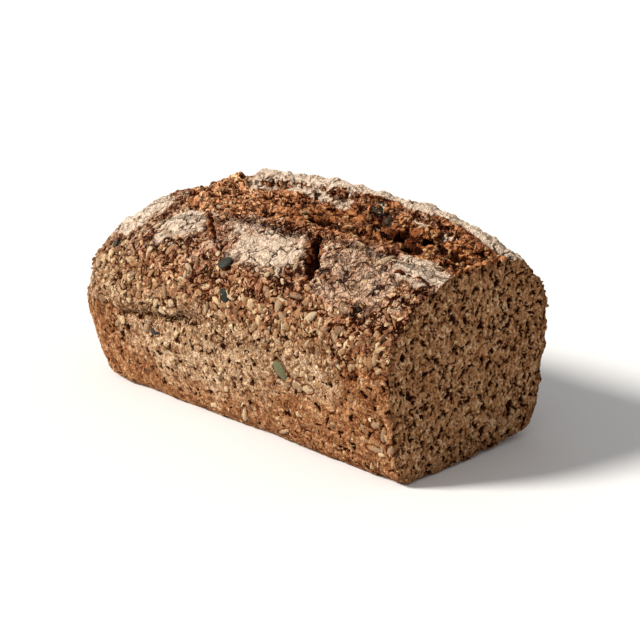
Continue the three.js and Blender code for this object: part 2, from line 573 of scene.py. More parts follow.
# %% Cutting a patch out and closing it
def grown(chosen, quads, vertex_count):
    """The chosen faces and every face that touches them."""
    touched = np.zeros(vertex_count, bool)
    touched[quads[chosen]] = True
    return touched[quads].any(axis=1)


def rim_edges(quads):
    """Edges that only one face has, each in its face's own direction."""
    starts, ends = quads.ravel(), np.roll(quads, -1, axis=1).ravel()
    key = np.minimum(starts, ends).astype(np.int64) << 32 | np.maximum(starts, ends)
    _, first, counts = np.unique(key, return_index=True, return_counts=True)
    once = first[counts == 1]
    return starts[once], ends[once]


def rim_share(points):
    """1 where the cut face meets the crust, falling away over a few millimetres inside it."""
    ring = points[(points[:, 0] > (CUT_X - 4.0) * MM) & (points[:, 0] < (CUT_X - 2.0) * MM)]
    tree = KDTree(len(ring))
    for index, (_, y, z) in enumerate(ring):
        tree.insert((0.0, y, z), index)
    tree.balance()
    share = np.zeros(len(points), np.float32)
    for index in np.flatnonzero(points[:, 0] > (CUT_X - 6.0) * MM):
        _, y, z = points[index]
        share[index] = math.exp(-(tree.find((0.0, y, z))[2] / MM / RIM_DEPTH) ** 2)
    return share


def without_pinches(chosen, quads, count):
    """Also takes the faces round any vertex where the rim would touch itself."""
    while True:
        starts, _ = rim_edges(quads[chosen])
        pinched = np.bincount(starts, minlength=count) > 1
        if not pinched.any():
            return chosen
        chosen = chosen | pinched[quads].any(axis=1)


def mesh_of(name, places, quads, triangles):
    mesh = bpy.data.meshes.new(name)
    corners = np.concatenate([quads.ravel(), triangles.ravel()]).astype(np.int32)
    loop_starts = np.concatenate([np.arange(len(quads)) * 4,
                                  quads.size + np.arange(len(triangles)) * 3])
    mesh.vertices.add(len(places))
    mesh.vertices.foreach_set("co", places.ravel())
    mesh.loops.add(len(corners))
    mesh.loops.foreach_set("vertex_index", corners)
    mesh.polygons.add(len(loop_starts))
    mesh.polygons.foreach_set("loop_start", loop_starts.astype(np.int32))
    mesh.update(calc_edges=True)
    return mesh, corners


def lay_chart(mesh, places, corners, skin_corners, chart):
    """A UV map that looks straight at the skin; the cone inside shares one point of it."""
    flat = np.stack([places @ np.array(axis, np.float32) for axis in chart], axis=1)
    skin = flat[:-1]
    low = skin.min(axis=0)
    spread = np.ptp(skin, axis=0)
    laid = (CHART_START + CHART_SPAN * (flat - low) / spread)[corners]
    laid[skin_corners:] = CONE_IN_CHART
    uv = mesh.uv_layers.new(name="OFBake")
    uv.uv.foreach_set("vector", laid.astype(np.float32).ravel())


def closed_patch(name, points, normals, quads, chosen, chart):
    """A closed mesh of the chosen faces and a cone inside, with a chart laid over the faces."""
    chosen = without_pinches(chosen, quads, len(points))
    used, flat = np.unique(quads[chosen], return_inverse=True)
    own_quads = flat.reshape(-1, 4)
    starts, ends = rim_edges(own_quads)
    cone = np.stack([ends, starts, np.full_like(starts, len(used))], axis=1)
    places = np.concatenate([points[used], [INSIDE_POINT]]).astype(np.float32)
    mesh, corners = mesh_of(name, places, own_quads, cone)

    facing = mesh.attributes.new("facing", "FLOAT_VECTOR", "POINT")
    no_normal = [(0, 0, 0)]
    directions = np.concatenate([normals[used], no_normal]).astype(np.float32)
    facing.data.foreach_set("vector", directions.ravel())
    rim = mesh.attributes.new("rim", "FLOAT", "POINT")
    rim.data.foreach_set("value", np.append(rim_share(points[used]), 0.0).astype(np.float32))
    on_rim = np.zeros(len(places), bool)
    on_rim[starts] = True
    sharp = on_rim[column(mesh.edges, "vertices", 2, np.int32)].all(axis=1)
    mesh.attributes.new("sharp_edge", "BOOLEAN", "EDGE").data.foreach_set("value", sharp)
    lay_chart(mesh, places, corners, own_quads.size, chart)
    return mesh


print("patch makers ready")


# %% The skin, patch by patch
def skin_patches():
    """A closed mesh for each patch, cut from a skin with faces of that patch's size."""
    made = {}
    for number, (name, (face_size, *chart)) in enumerate(PATCHES.items()):
        skin = evenly_faced(shaped_loaf, face_size)
        points, normals, quads = mesh_arrays(skin)
        middles = points[quads].mean(axis=1) / MM
        chosen = patch_of(*middles.T) == number
        for _ in range(math.ceil(OVERLAP / face_size)):
            chosen = grown(chosen, quads, len(points))
        made[name] = closed_patch(name, points, normals, quads, chosen, chart)
        bpy.data.meshes.remove(skin)
    return made


patch_meshes = skin_patches()
for name, mesh in patch_meshes.items():
    print(f"{name}: {len(mesh.polygons)} faces")

# %% [markdown]
# ## Fine relief
# Baked dough full of grain has a different texture in each place. The sides that lay on the tin
# are pebbly and pitted, the plates are crackled under their flour, the tear is shredded crumb
# with deep holes, and the cut face is full of pores. The next tree makes all four from cell and
# cloud patterns, weighs them with masks, and also stores how deep, how grainy and how floury
# each place is, so that the colours follow the shape and shade is painted into the deep places.
#
# The marks, which are pits, gaps, cracks and pores, have functions of their own. The tree
# sinks them into the skin, a little wider than they are, and the materials paint them once more
# as shade at their true width, because many are narrower than a face. Both work from the same
# place on the unmoved skin, which the tree stores, so a painted mark always lies in its own hollow.


# %% Where the flour lies
def off_middle(x, y, middle, reach_x, reach_y):
    """0 at the middle of an oval place, 1 on its edge, and more outside."""
    off_x = (x - middle[0]) * (1.0 / reach_x)
    off_y = (y - middle[1]) * (1.0 / reach_y)
    return off_x * off_x + off_y * off_y


def flour_amount(g, at, x, y, across, upward):
    """How thick the flour lies, from the patches in FLOUR and along the lip, with broken edges."""
    broken = g.noise(at, 10.0, detail=4.0, seed=13) * 0.7
    inner = g.smooth(x, -10.0, 40.0) * 0.08 + 0.84 - broken * 0.05
    lip = g.smooth(across - inner, 0.0, 0.08) * (1.0 - g.smooth(across + broken * 0.4, 1.5, 2.2))
    amount = lip * g.smooth(x + broken * 8.0, -54.0, -44.0) * LIP_FLOUR
    for *oval, thickness in FLOUR.values():
        patch = (1.0 - g.smooth(off_middle(x, y, *oval) + broken, 0.3, 1.5)) * thickness
        amount = g.most(patch * g.smooth(upward, 0.15, 0.45), amount)
    return amount * g.smooth(upward, -0.3, -0.05)


print("flour lies on", len(FLOUR), "places and the lip")


# %% Marks, sunk and painted as shade: pits, gaps, cracks and pores
def spots(g, at, size, share, least_radius, more_radius, seed):
    """Round marks in a share of the cells: 1 in a mark, 0 outside."""
    distance, colour = g.cells(at, size, seed=seed)
    chance, scale, _ = g.parts(colour)
    radius = scale * more_radius + least_radius
    mark = 1.0 - g.smooth(distance, radius * 0.45, radius)
    return mark * (1.0 - g.smooth(chance, share - 0.02, share + 0.02))


def curled(g, at, size, reach, seed):
    """The same place pushed about by a cloud pattern, which bends lines and spots into curls."""
    return at + g.noise_vector(at, size, detail=2.0, seed=seed) * reach


def creases(g, at, size, width, seed):
    """1 in thin lines where a cloud pattern crosses zero."""
    return 1.0 - g.smooth(g.math("ABSOLUTE", g.noise(at, size, seed=seed)), 0.0, width)


def side_marks(g, at, z, widen):
    """Pits and curling gaps between the grains of the sides, how coarse they are, and the bend."""
    bent = curled(g, at, 5.0, 1.8, seed=20)
    coarse = g.smooth(z + g.noise(at, 20.0, seed=23) * 9.0, 44.0, 70.0)
    pit = g.smooth(g.noise(bent, 3.8, detail=1.0, seed=22), 0.58 - widen * 0.12, 0.8)
    here = g.smooth(g.noise(at, 8.0, seed=18), -0.6, 0.2)
    gap = creases(g, bent, 5.4, 0.2 * widen, seed=19) * here * (coarse * 0.4 + 0.36)
    return g.most(pit, gap), coarse, bent


def plate_marks(g, at, flour, widen):
    """Cracks in the skin of the plates and folds where it is bare, how bare it is, and the bend."""
    bent = curled(g, at, 7.0, 2.8, seed=26)
    to_edge, _ = g.cells(bent, 11.0, feature="DISTANCE_TO_EDGE", seed=27)
    here = g.smooth(g.noise(at, 13.0, seed=28), -0.3, 0.3)
    crack = (1.0 - g.smooth(to_edge, 0.12, 0.5 * widen)) * here
    bare = 1.0 - g.smooth(flour, 0.45, 0.95)
    curl = creases(g, bent, 9.0, 0.1 * widen, seed=29) * (bare * 0.5 + 0.45)
    fold = creases(g, bent, 4.8, 0.13 * widen, seed=17) * (bare * 0.6 + 0.22)
    pit = g.smooth(g.noise(bent, 4.4, seed=30), 0.7, 0.92) * (bare * 0.7 + 0.3)
    return g.most(g.most(crack, pit), g.most(curl, fold)), bare, bent


def torn_marks(g, at, x, y, z, across):
    """Places between the strands of the tear, which get painted shade, and the strands themselves."""
    pulled = curled(g, g.join(x * 0.44, y, z), 7.0, 2.6, seed=34)
    away = g.math("ABSOLUTE", g.noise(pulled, 9.4, detail=3.0, seed=35, roughness=0.55))
    strand = 1.0 - g.smooth(away, 0.0, 0.75)
    deep = valley(g, at, x, across)
    low = g.smooth(away + deep * 0.22, 0.42, 0.8)
    gap = creases(g, pulled, 5.0, 0.2, seed=36) * 0.85
    hole = spots(g, pulled, 5.6, 0.5, 1.0, 1.6, seed=37)
    return g.most(g.most(low, gap), g.most(hole, deep * 0.6)), strand, hole


def crumb_marks(g, at, widen):
    """Pores of the cut face: irregular small ones everywhere, and a few large round ones."""
    bent = curled(g, at, 4.4, 1.9, seed=39)
    small = g.smooth(g.noise(bent, 4.0, detail=2.0, seed=40), 0.14, 0.84)
    small = g.most(small, g.smooth(g.noise(bent, 2.6, detail=1.0, seed=41), 0.34, 0.86) * 0.85)
    large = 0.0
    for hole_y, hole_z, radius in CRUMB_HOLES:
        off = g.math("DISTANCE", bent, (CUT_X, hole_y, hole_z))
        large = g.most(1.0 - g.smooth(off, radius * 0.6, radius * widen), large)
    return small, large


print(len(CRUMB_HOLES), "large pores and", len(TEAR_HOLES), "deep holes")


# %% The four textures
# how much wider than its painted shade each kind of mark is sunk, and the depth of the tear's small holes
SUNK_WIDER = {"side": 1.6, "plate": 1.8, "crumb": 1.1}
COMMON_HOLE = 4.2


def side_texture(g, at, z, given):
    """Relief in millimetres, how deep a mark is from 0 to 1, and a random value for each grain."""
    marks, coarse, bent = side_marks(g, at, z, SUNK_WIDER["side"])
    distance, colour = g.cells(bent, 2.8, seed=21)
    _, scale, value = g.parts(colour)
    pebble = (1.0 - g.smooth(distance, 0.25, 1.4)) * (scale * 0.8 + 0.2)
    tall = coarse * 1.1 + 0.5
    relief = pebble * given["Pebble Height"] * tall + g.noise(at, 5.0, seed=24) * 0.5 * tall
    relief = relief + g.noise(at, 1.2, seed=25) * 0.2 - marks * given["Pit Depth"]
    return relief, marks, value


def plate_texture(g, at, flour, given):
    marks, bare, bent = plate_marks(g, at, flour, SUNK_WIDER["plate"])
    distance, colour = g.cells(bent, 4.4, seed=31)
    puff = (1.0 - g.smooth(distance, 0.4, 2.4)) * (bare * 0.7 + 0.2)
    relief = g.noise(at, 11.0, seed=16) * (bare * 0.6 + 0.4) + g.noise(bent, 5.0, seed=32) * 0.6
    relief = relief + puff * 0.9 + g.noise(at, 1.4, seed=33) * 0.15
    return relief - marks * given["Crack Depth"], marks, g.parts(colour)[2]


def torn_texture(g, at, x, y, z, across, given):
    marks, strand, hole = torn_marks(g, at, x, y, z, across)
    for hole_x, hole_y, radius, depth in TEAR_HOLES:
        off_x, off_y = (x - hole_x) * 0.6, y - hole_y
        away = g.math("SQRT", off_x * off_x + off_y * off_y) + g.noise(at, 3.0, seed=45) * 1.2
        hole = g.most(hole, (1.0 - g.smooth(away, radius * 0.5, radius)) * (depth / COMMON_HOLE))
    _, colour = g.cells(at, 2.6, seed=38)
    relief = strand * given["Shred Height"] - hole * given["Hole Depth"] - marks * 0.7
    return relief, g.most(hole, marks * 0.9), g.parts(colour)[2]


def crumb_texture(g, at, given):
    small, large = crumb_marks(g, at, SUNK_WIDER["crumb"])
    _, colour = g.cells(at, 1.7, seed=42)
    relief = g.noise(at, 5.0, seed=43) * 0.25 + g.noise(at, 1.3, seed=47) * 0.15 - 0.1
    relief = relief - small * given["Pore Depth"] * 0.8 - large * given["Pore Depth"] * 1.3
    return relief, g.most(small, large), g.parts(colour)[2]


print("textures for the sides, the plates, the tear and the cut")


# %% The fine relief tree
GAP_SHADE = 0.8


def mixed(first, second, share):
    """first where share is 0, second where it is 1."""
    return first * (1.0 - share) + second * share


def fine_relief_tree():
    tree, g, geometry, given = new_geometry_tree("fine_relief", {
        "Pebble Height": 0.85, "Pit Depth": 1.15, "Crack Depth": 0.95,
        "Shred Height": 2.4, "Shred Push": 1.3, "Hole Depth": 4.4, "Pore Depth": 1.9,
    })
    facing = recalled(g, "facing", "FLOAT_VECTOR")
    facing_x, facing_y, upward = g.parts(facing)
    position = g.out(g.node("GeometryNodeInputPosition"))
    at, x, y, z, across = loaf_coordinates(g, position)

    far_share = FINE_FAR_SHARE - g.smooth(x, -10.0, 40.0) * LESS_AT_CUT
    torn = tear_mask(g, at, x, across, upward, far_share)
    in_gap = 0.0
    for start, end, half_width, _ in GAPS.values():
        gap = gap_profile(g, at, x, y, start, end, half_width * 1.15) * g.smooth(upward, -0.4, 0.0)
        torn = g.most(torn, gap)
        in_gap = g.most(gap, in_gap)
    cut = cut_mask(g, x, facing_x)
    crown = g.smooth(upward + g.noise(at, 12.0, seed=14) * 0.12, 0.3, 0.5)
    flour = flour_amount(g, at, x, y, across, upward) * (1.0 - torn) * (1.0 - cut)

    relief, cavity, grain = side_texture(g, at, z, given)
    groove, _, _ = crease(g, at, x, z)
    fold_shade = 0.35 + g.noise(at, 4.0, seed=65) * 0.5
    cavity = g.most(cavity, groove * g.smooth(-facing_y, 0.3, 0.6) * fold_shade)
    for weight, texture in (
        (crown, plate_texture(g, at, flour, given)),
        (torn, torn_texture(g, at, x, y, z, across, given)),
        (cut, crumb_texture(g, at, given)),
    ):
        relief = mixed(relief, texture[0], weight)
        cavity = mixed(cavity, texture[1], weight)
        grain = mixed(grain, texture[2], weight)
    cavity = g.most(cavity, in_gap * GAP_SHADE)

    on_base = 1.0 - g.smooth(z, 0.6, 3.0)
    relief = mixed(relief, g.least(relief, 0.0), on_base)
    push = torn * (1.0 - cut) * given["Shred Push"]
    shredded = g.noise_vector(at, 4.0, detail=2.0, seed=44) * push
    offset = facing * relief + shredded * g.math("LENGTH", facing)
    # cavity is how much shade the materials paint in, from marks, gaps, holes and the crease
    for name, value in (("cavity", cavity), ("grain", grain), ("flour", flour), ("crown", crown),
                        ("torn", torn), ("cut", cut), ("relief", relief), ("place", at)):
        geometry = stored(g, geometry, name, value)
    end_geometry_tree(g, displaced(g, geometry, offset))
    return tree


fine_relief = fine_relief_tree()
print("fine relief tree has", len(fine_relief.nodes), "nodes")

# %% [markdown]
# ## Baked surfaces
# The colours come from the same masks as the shape. Crust varies from straw to red-brown by the
# grain in the dough, and is pale under flour. Torn crumb is rusty, and cut crumb is a duller brown
# with a darker rim where it meets the crust. On all of them shade is painted into every mark and
# low place, and light onto raised places. Curls of a millimetre are too small for the faces, so
# they are a bump, with thin lines of painted shade between them. The effects that several
# finishes share are node groups, and crust, torn crumb and cut crumb have a material each, to be
# changed apart.


# %% Helpers for shader groups
def new_shader_group(name, inputs, outputs):
    """An empty group with named inputs and outputs; sizes are numbers and colours are triples."""
    tree = bpy.data.node_groups.new(name, "ShaderNodeTree")
    for labels, way in ((inputs, "INPUT"), (outputs, "OUTPUT")):
        for label, default in labels.items():
            kind = "NodeSocketFloat" if isinstance(default, float) else "NodeSocketColor"
            if label == "At":
                kind = "NodeSocketVector"
            socket = tree.interface.new_socket(label, in_out=way, socket_type=kind)
            if kind == "NodeSocketFloat":
                socket.default_value = default
            elif kind == "NodeSocketColor":
                socket.default_value = (*default, 1.0)
    g = Graph(tree)
    entry = g.node("NodeGroupInput")
    leave = g.node("NodeGroupOutput")
    return tree, g, {label: g.out(entry, label) for label in inputs}, leave


def placed(g, group, **values):
    """A group node in a material, with its inputs fed by name; underscores stand for spaces."""
    made = g.node("ShaderNodeGroup", node_tree=group)
    for name, value in values.items():
        g.feed(made.inputs[name.replace("_", " ")], value)
    return made


print("shader group helpers ready")


# %% Groups for grain, curls, flour and shade
def grain_colour_group():
    """Dough colour from dark to light by a random value for each grain, mottled and speckled."""
    tree, g, given, leave = new_shader_group("grain_colour", {
        "At": None, "Grain": 0.5, "Dark": (0.2, 0.1, 0.05), "Middle": (0.4, 0.22, 0.12),
        "Light": (0.6, 0.42, 0.22), "Speckle Size": 1.0,
    }, {"Colour": (0.0, 0.0, 0.0)})
    at = given["At"]
    mottle = g.noise(at, 7.0, detail=3.0, seed=50) * 0.2 + g.noise(at, 30.0, seed=49) * 0.1
    speckle = g.noise(at, given["Speckle Size"], detail=2.0, seed=51) * 0.4
    value = given["Grain"] * 0.75 + 0.12 + mottle + speckle
    low = g.blend(g.smooth(value, 0.05, 0.5), given["Dark"], given["Middle"])
    g.feed(leave.inputs[0], g.blend(g.smooth(value, 0.55, 1.1), low, given["Light"]))
    return tree


def curls_group():
    """Curls of a millimetre or two: thin lines of painted shade between them, and their height."""
    tree, g, given, leave = new_shader_group("fine_curls", {"At": None}, {"Line": 0.0, "Height": 0.0})
    bent = curled(g, given["At"], 3.4, 1.4, seed=57)
    away = g.math("ABSOLUTE", g.noise(bent, 3.0, detail=2.0, seed=58))
    g.feed(leave.inputs[0], 1.0 - g.smooth(away, 0.02, 0.24))
    rough = g.noise(given["At"], 1.0, detail=2.0, seed=56) * 0.35
    g.feed(leave.inputs[1], g.smooth(away, 0.0, 0.6) + rough)
    return tree


def dusting_group():
    """How much flour shows: it lies on raised places, and thins out in spots."""
    tree, g, given, leave = new_shader_group("flour_dusting", {
        "At": None, "Amount": 0.0, "Cavity": 0.0, "Relief": 0.0, "Line": 0.0,
    }, {"Cover": 0.0})
    at = given["At"]
    patchy = g.noise(at, 4.0, detail=4.0, seed=52, roughness=0.65) * 0.35
    fine = g.noise(at, 0.9, detail=1.0, seed=53) * 0.18
    amount = given["Amount"] * 1.15 + (patchy + fine) * g.smooth(given["Amount"], 0.02, 0.3)
    raised = g.smooth(given["Relief"], -0.2, 0.9) * 0.55 - 0.3
    amount = amount + raised * (1.0 - g.smooth(given["Amount"], 0.7, 1.1))
    cover = g.smooth(amount, 0.15, 0.95) * (1.0 - given["Cavity"] * 0.92)
    cover = cover * (1.0 - given["Line"] * (0.75 - g.smooth(given["Amount"], 0.5, 1.0) * 0.55))
    g.feed(leave.inputs[0], cover)
    return tree


def shading_group():
    """Paints shade into pits and lines, and light on raised places; each channel of the pit shade is its
    tint raised to the depth, so browns get richer.
    """
    tree, g, given, leave = new_shader_group("cavity_shade", {
        "Colour": (0.5, 0.5, 0.5), "Cavity": 0.0, "Relief": 0.0, "Line": 0.0,
        "Pit Tint": (0.07, 0.022, 0.007),
    }, {"Colour": (0.0, 0.0, 0.0)})
    # painted light on raised places and painted shade in low ones
    height_light_and_shade = g.smooth(given["Relief"], -1.2, 1.2) * 0.7 + 0.72
    lit = g.math("MULTIPLY", g.join(height_light_and_shade, height_light_and_shade, height_light_and_shade), given["Colour"])
    depth = g.most(g.smooth(given["Cavity"], 0.06, 1.0) * 0.92, given["Line"] * 0.19)
    shade = g.join(*[g.math("POWER", channel, depth) for channel in g.parts(given["Pit Tint"])])
    g.feed(leave.inputs[0], g.math("MULTIPLY", lit, shade))
    return tree


grain_colour = grain_colour_group()
fine_curls = curls_group()
flour_dusting = dusting_group()
cavity_shade = shading_group()
print("shader groups ready")

# %% Bread colours
PALE_SIDE = {"Dark": (0.25, 0.12, 0.055), "Middle": (0.56, 0.37, 0.225), "Light": (0.79, 0.61, 0.42)}
RED_SIDE = {"Dark": (0.17, 0.055, 0.018), "Middle": (0.355, 0.158, 0.066), "Light": (0.60, 0.35, 0.185)}
SHOULDER = {"Dark": (0.16, 0.052, 0.025), "Middle": (0.44, 0.21, 0.115), "Light": (0.72, 0.47, 0.28)}
TORN = {"Dark": (0.10, 0.026, 0.008), "Middle": (0.33, 0.125, 0.044), "Light": (0.60, 0.33, 0.16)}
CRUMB = {"Dark": (0.20, 0.075, 0.026), "Middle": (0.40, 0.20, 0.088), "Light": (0.70, 0.47, 0.28)}
TORN_START = {"Dark": (0.19, 0.062, 0.022), "Middle": (0.54, 0.26, 0.125), "Light": (0.82, 0.53, 0.31)}
RIM = {"Dark": (0.07, 0.022, 0.009), "Middle": (0.20, 0.08, 0.028), "Light": (0.40, 0.20, 0.075)}
# middle and reach, along and up, of the paler places on the long side
PALE_PLACES = (((-12.0, 42.0), 60.0, 28.0), ((-95.0, 62.0), 40.0, 15.0), ((58.0, 50.0), 34.0, 17.0))
THIN_FLOUR = (0.68, 0.48, 0.33)
THICK_FLOUR = (0.74, 0.61, 0.475)
# the colour of the painted shade: what the deepest pit keeps of the lit colour, by channel
PIT_SHADE = (0.06, 0.018, 0.005)
CURL_BUMP, MARK_BUMP = 0.9, 1.2
CRUST_SHINE, SEED_SHINE = 0.05, 0.16
print("thick flour is", THICK_FLOUR, "and a deep pit keeps", PIT_SHADE, "of the light")


# %% The bread material
def new_material(name, **constants):
    """A node material, its Graph and its Principled shader, with the same-all-over values set."""
    material = bpy.data.materials.new(name)
    material.use_nodes = True
    g = Graph(material.node_tree)
    shader = material.node_tree.nodes["Principled BSDF"]
    for socket, value in constants.items():
        shader.inputs[socket.replace("_", " ")].default_value = value
    return material, g, shader


def object_place(g):
    """Object coordinates in millimetres."""
    return g.out(g.node("ShaderNodeTexCoord"), "Object") * (1.0 / MM)


def attribute(g, name, output="Fac"):
    """What the fine relief stored under this name."""
    return g.out(g.node("ShaderNodeAttribute", attribute_name=name), output)


def bread_surface(name):
    """Crust, torn crumb and cut crumb, mixed by the masks that the fine relief stored."""
    material, g, shader = new_material(name, Specular_IOR_Level=CRUST_SHINE)
    at = attribute(g, "place", "Vector")
    x, y, z = g.parts(at)
    cavity, grain, flour, crown, torn, cut, relief, rim = [attribute(g, label) for label in (
        "cavity", "grain", "flour", "crown", "torn", "cut", "relief", "rim")]
    across = (y - x * TEAR_DRIFT - TEAR_MIDDLE_Y) / TEAR_HALF_WIDTH
    marks = mixed(side_marks(g, at, z, 1.0)[0], plate_marks(g, at, flour, 1.0)[0], crown)
    marks = mixed(marks, torn_marks(g, at, x, y, z, across)[0], torn)
    marks = mixed(marks, g.most(*crumb_marks(g, at, 1.0)), cut)
    # the marks and the stored cavity say where shade is painted
    cavity = g.most(cavity * 0.85, marks)
    curls = placed(g, fine_curls, At=at)
    calm = (1.0 - g.smooth(z, 24.0, 52.0)) * (1.0 - g.smooth(x, -70.0, 40.0) * 0.5)
    # thin lines of painted shade between the curls
    line = g.out(curls, "Line") * (1.0 - cut * 0.6) * (1.0 - calm * 0.6)
    cavity = cavity * (1.0 - calm * (1.0 - crown) * (1.0 - cut) * 0.3)

    def dough(colours, speckle):
        return g.out(placed(g, grain_colour, At=at, Grain=grain, Speckle_Size=speckle, **colours))

    wander = g.noise(at, 13.0, detail=3.0, seed=54)
    pale = 0.0
    for oval in PALE_PLACES:
        pale = g.most(1.0 - g.smooth(off_middle(x, z, *oval) + wander * 0.5, 0.3, 1.5), pale)
    side = g.blend(pale, dough(RED_SIDE, 1.9), dough(PALE_SIDE, 1.9))
    crust = g.blend(g.smooth(z + wander * 9.0, 58.0, 80.0), side, dough(SHOULDER, 2.2))
    baked_more = g.smooth(x + wander * 16.0, -30.0, 14.0)
    crumb_in_tear = g.blend(baked_more, dough(TORN_START, 2.4), dough(TORN, 2.4))
    colour = g.blend(torn, crust, crumb_in_tear)
    crumb = g.blend(rim * 0.85, dough(CRUMB, 1.7), dough(RIM, 1.7))
    colour = g.blend(cut, colour, crumb)
    # painted shade in marks, pits and lines, and painted light and shade by height
    colour = g.out(placed(g, cavity_shade, Colour=colour, Cavity=cavity, Relief=relief,
                          Line=line, Pit_Tint=PIT_SHADE))
    cover = g.out(placed(g, flour_dusting, At=at, Amount=flour, Cavity=cavity, Relief=relief,
                         Line=line))
    flour_colour = g.blend(g.smooth(flour, 0.6, 1.15), THIN_FLOUR, THICK_FLOUR)
    colour = g.blend(cover, colour, flour_colour)
    g.feed(shader.inputs["Base Color"], colour)
    g.feed(shader.inputs["Roughness"], g.noise(at, 2.0, seed=55) * 0.08 + 0.78 + cover * 0.12)
    bump = g.node("ShaderNodeBump")
    bump.inputs["Distance"].default_value = CURL_BUMP * MM
    bump.inputs["Strength"].default_value = 1.0
    fineness = 1.0 - g.most(g.most(cover * g.smooth(flour, 0.5, 1.0) * 0.5, cut * 0.45), calm * 0.4)
    g.feed(bump.inputs["Height"], g.out(curls, "Height") * fineness - marks * MARK_BUMP)
    g.feed(shader.inputs["Normal"], g.out(bump))
    return material


FINISHES = {name: bread_surface(name) for name in ("baked_crust", "torn_crumb", "cut_crumb")}
print("finishes:", ", ".join(FINISHES))


# %% The patches become pieces
PATCH_FINISH = {"cut_face": ("cut_crumb", "crumb"), "tear": ("torn_crumb", "crumb")}


def add_piece(name, mesh, finish):
    """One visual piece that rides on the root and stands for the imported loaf."""
    mesh.materials.clear()
    mesh.materials.append(finish)
    piece = new_object(name, mesh)
    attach(piece, "root")
    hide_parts("loaf")
    return piece


pieces = {}
for name, mesh in patch_meshes.items():
    finish, slot = PATCH_FINISH.get(name, ("baked_crust", "crust"))
    detailed = run_tree(mesh, fine_relief, name)
    detailed.shade_smooth()
    pieces[name] = add_piece(name, detailed, FINISHES[finish])
print(len(pieces), "patches in place")

# %% [markdown]
# ## Seeds and grains
# Sunflower kernels, pumpkin seeds, flakes and cracked grain are baked into the surface, each lying
# along it and partly sunk. The seeds that catch the eye are placed one by one, and the places of the
# others are drawn from a seeded random generator on the finished patches. Geometry Nodes then set
# a simple shape on every point, turned, sized and toned by the point's values.


# %% Places on the surface
def patch_faces(name):
    """Middle, smooth normal, area and stored values of a patch's faces, without its cone."""
    mesh = pieces[name].data
    own = column(mesh.polygons, "loop_total", kind=np.int32) == 4
    corners = column(mesh.loops, "vertex_index", kind=np.int32)
    first = corners[:own.sum() * 4].reshape(-1, 4)[:, 0]
    middles = column(mesh.polygons, "center", 3)[own] / MM
    areas = column(mesh.polygons, "area")[own] / MM ** 2
    normals = column(mesh.attributes["facing"].data, "vector", 3)[first]
    values = {label: column(mesh.attributes[label].data, "value")[first]
              for label in ("flour", "torn", "cut", "cavity")}
    return middles, normals, areas, values


SURFACE = {name: patch_faces(name) for name in pieces}


class Places:
    """Points with a normal, a turn, three sizes and a tone each, for one kind of seed."""

    def __init__(self):
        self.at, self.normal, self.size, self.turn, self.tone = [], [], [], [], []

    def add(self, at, normal, size, turn, tone):
        self.at.append(at)
        self.normal.append(normal)
        self.size.append(size)
        self.turn.append(turn)
        self.tone.append(tone)

    def scatter(self, random, patch, count, weight, size_range, sink, proportions, tilt):
        """Count points on a patch, more where weight is high."""
        middles, normals, areas, values = SURFACE[patch]
        chance = areas * weight(middles, values)
        if chance.sum() <= 0:
            return
        picks = random.choice(len(areas), count, p=chance / chance.sum())
        sizes = random.uniform(*size_range, count)
        leans = random.normal(0.0, tilt, (count, 3))
        turns = random.uniform(0.0, 2 * math.pi, count)
        tones = random.uniform(0.0, 1.0, count)
        stretch = random.uniform(0.8, 1.25, (count, 3))
        for k, pick in enumerate(picks):
            normal = normals[pick] + leans[k]
            normal /= np.linalg.norm(normal)
            size = sizes[k] * np.array(proportions) * stretch[k]
            self.add(middles[pick] - normals[pick] * sink * size[2], normal, size, turns[k], tones[k])

    def mesh(self, name):
        made = bpy.data.meshes.new(name)
        made.from_pydata([tuple(place * MM) for place in self.at], [], [])
        for label, rows in (("normal", self.normal), ("size", self.size)):
            layer = made.attributes.new(label, "FLOAT_VECTOR", "POINT")
            layer.data.foreach_set("vector", np.array(rows, np.float32).ravel())
        for label, rows in (("turn", self.turn), ("tone", self.tone)):
            layer = made.attributes.new(label, "FLOAT", "POINT")
            layer.data.foreach_set("value", np.array(rows, np.float32))
        return made


print("faces that seeds can lie on:", {name: len(areas) for name, (_, _, areas, _) in SURFACE.items()})


# %% Simple shapes, each one long, to be sized by its point
def shape_mesh(name, rings, sides, outline):
    """A closed shape along X: outline gives half width, half height and lift at each place."""
    vertices, faces = [(-0.5, 0.0, 0.0)], []
    for ring in range(1, rings):
        along = -0.5 * math.cos(math.pi * ring / rings)
        half_width, half_height, lift = outline(along)
        for side in range(sides):
            turn = 2 * math.pi * side / sides
            vertices.append((along, half_width * math.cos(turn), half_height * math.sin(turn) + lift))
    vertices.append((0.5, 0.0, 0.0))
    last = len(vertices) - 1
    for side in range(sides):
        after = (side + 1) % sides
        faces.append((0, 1 + after, 1 + side))
        for ring in range(rings - 2):
            row = 1 + ring * sides
            faces.append((row + side, row + after, row + sides + after, row + sides + side))
        row = 1 + (rings - 2) * sides
        faces.append((row + side, row + after, last))
    made = bpy.data.meshes.new(name)
    made.from_pydata(vertices, [], faces)
    made.update()
    return made


def sunflower_outline(along):
    """A teardrop: blunt at one end, pointed at the other, rather flat."""
    s = along + 0.5
    half_width = 0.95 * math.sqrt(s) * (1.0 - s) ** 0.75 * 0.5
    return half_width, half_width * 0.7, 0.0


def pumpkin_outline(along):
    s = along + 0.5
    half_width = 0.33 * (4 * s * (1 - s)) ** 0.62 * (1.12 - 0.3 * s)
    return half_width, 0.085 * (4 * s * (1 - s)) ** 0.35, 0.0


def flake_outline(along):
    s = along + 0.5
    half_width = 0.3 * (4 * s * (1 - s)) ** 0.5
    return half_width, 0.05, 0.2 * (4 * s * (1 - s)) - 0.1


